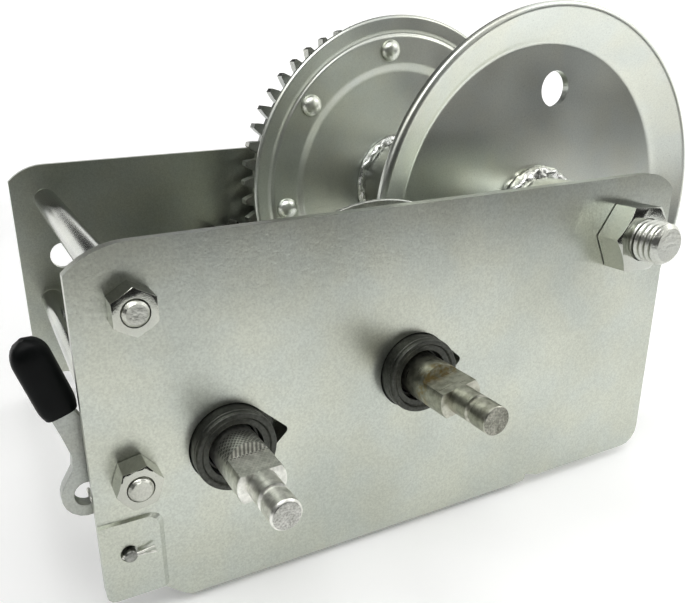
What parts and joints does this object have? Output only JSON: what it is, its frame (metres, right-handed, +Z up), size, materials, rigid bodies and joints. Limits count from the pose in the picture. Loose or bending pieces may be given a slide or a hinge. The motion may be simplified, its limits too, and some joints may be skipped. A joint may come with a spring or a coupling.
{
  "type": "boat trailer winch",
  "caption": "Two-speed geared hand winch with a flanged reel between two steel side plates, double-D input shafts and a reversible pawl lever.",
  "frame": {"origin": "centre of the side plates' length on the floor's underside, midway between the plates", "axes": "+X along the side plates towards the reel, -Y towards the cranking side, +Z up"},
  "size_m": [0.3183, 0.2467, 0.1954],
  "materials": {
    "zinc_plate": "satin zinc plating",
    "turned_steel": "turned, lightly oiled",
    "dark_steel": "dark sintered steel",
    "black_vinyl": "dipped vinyl, satin"
  },
  "bodies": {
    "frame": {"frame_channel": "zinc_plate", "upper_tie_bolt": "zinc_plate", "upper_tie_nut": "zinc_plate", "upper_tie_tube": "zinc_plate", "lower_tie_bolt": "zinc_plate", "lower_tie_nut": "zinc_plate", "lower_tie_tube": "zinc_plate", "reel_axle_bolt": "zinc_plate", "reel_axle_nut": "zinc_plate", "reel_axle_sleeve": "zinc_plate", "high_shaft_front_bushing": "dark_steel", "high_shaft_back_bushing": "dark_steel", "low_shaft_front_bushing": "dark_steel", "low_shaft_back_bushing": "dark_steel", "spring_anchor_pin": "turned_steel", "anchor_cotter": "turned_steel", "pawl_spring": "turned_steel"},
    "reel": {"reel_hub": "zinc_plate", "drum_tube": "zinc_plate", "front_flange": "zinc_plate", "back_flange": "zinc_plate", "reel_gear": "zinc_plate", "front_outer_weld": "zinc_plate", "front_inner_weld": "zinc_plate", "back_inner_weld": "zinc_plate", "front_reel_bush": "dark_steel", "back_reel_bush": "dark_steel", "gear_rivet_1": "zinc_plate", "gear_rivet_2": "zinc_plate", "gear_rivet_3": "zinc_plate", "gear_rivet_4": "zinc_plate", "gear_rivet_5": "zinc_plate", "gear_rivet_6": "zinc_plate", "gear_rivet_7": "zinc_plate", "gear_rivet_8": "zinc_plate"},
    "high_shaft": {"high_speed_shaft": "turned_steel", "high_pinion": "dark_steel", "middle_gear": "zinc_plate", "middle_gear_shroud": "zinc_plate", "middle_gear_hub": "dark_steel", "high_shaft_ring": "dark_steel"},
    "low_shaft": {"low_speed_shaft": "turned_steel", "low_pinion": "dark_steel", "ratchet_wheel": "dark_steel", "low_shaft_ring": "dark_steel"},
    "pawl": {"pawl_lever": "zinc_plate", "lever_grip": "black_vinyl"}
  },
  "joints": [
    {"name": "reel_spin", "type": "hinge", "parent": "frame", "child": "reel", "pos_m": [0.0929, 0, 0.1044], "axis": [0, 1, 0], "continuous": true},
    {"name": "high_shaft_spin", "type": "hinge", "parent": "frame", "child": "high_shaft", "pos_m": [-0.00359, 0, 0.06755], "axis": [0, 1, 0], "continuous": true},
    {"name": "low_shaft_spin", "type": "hinge", "parent": "frame", "child": "low_shaft", "pos_m": [-0.0737, 0, 0.0572], "axis": [0, 1, 0], "continuous": true},
    {"name": "pawl_tilt", "type": "hinge", "parent": "frame", "child": "pawl", "pos_m": [-0.1051, 0, 0.0549], "axis": [0, 1, 0], "range_deg": [-12, 12], "deforming": ["pawl_spring"]}
  ],
  "couplings": [
    {"joint": "high_shaft_spin", "follows": "reel_spin", "ratio": -4.7273},
    {"joint": "low_shaft_spin", "follows": "reel_spin", "ratio": 12}
  ]
}
